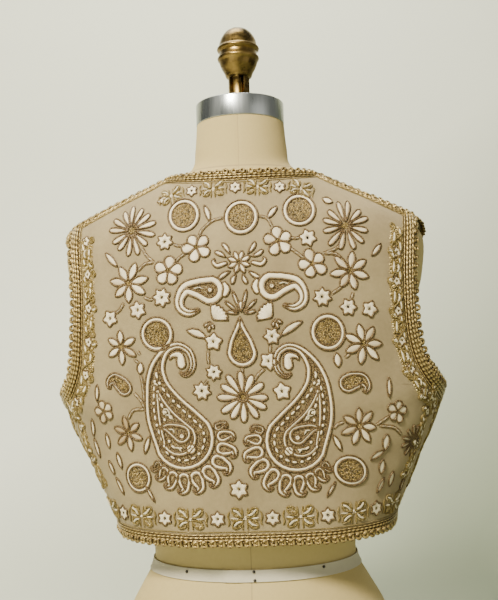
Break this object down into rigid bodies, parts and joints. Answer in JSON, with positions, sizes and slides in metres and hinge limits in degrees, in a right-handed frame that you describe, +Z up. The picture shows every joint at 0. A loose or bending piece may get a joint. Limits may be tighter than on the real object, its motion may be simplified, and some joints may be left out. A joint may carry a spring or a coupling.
{
  "type": "embroidered waistcoat on a dress form",
  "caption": "Short open sleeveless waistcoat of embroidered cloth with gilt looped braid, shown from the back on a limbless linen-covered dress form",
  "frame": {"origin": "centre of the underside's box, on the surface that the form stands on", "axes": "+Z up, -Y the wearer's back (the side pictured), +Y the open fronts, +X the viewer's right in the picture"},
  "size_m": [0.4191, 0.2598, 0.7901],
  "materials": {
    "embroidered_cloth": "fine plain-woven beige cloth with cream silk, brown-gold couched cord and gilt knots",
    "gilt_braid": "aged gilt metal-thread braid with small loops along its edge",
    "linen": "plain-woven natural linen, matt",
    "twill_tape": "off-white cotton twill tape",
    "brushed_aluminium": "satin, brushed round the rim",
    "antique_brass": "dark antique brass, softly polished"
  },
  "bodies": {
    "root": {"back": "embroidered_cloth", "front_right_of_view": "embroidered_cloth", "front_left_of_view": "embroidered_cloth", "braid_back": "gilt_braid", "braid_opening_right": "gilt_braid", "braid_opening_left": "gilt_braid", "braid_armhole_right": "gilt_braid", "braid_armhole_left": "gilt_braid", "form_torso": "linen", "waist_tape": "twill_tape", "neck_plate": "brushed_aluminium", "finial": "antique_brass"}
  },
  "joints": []
}
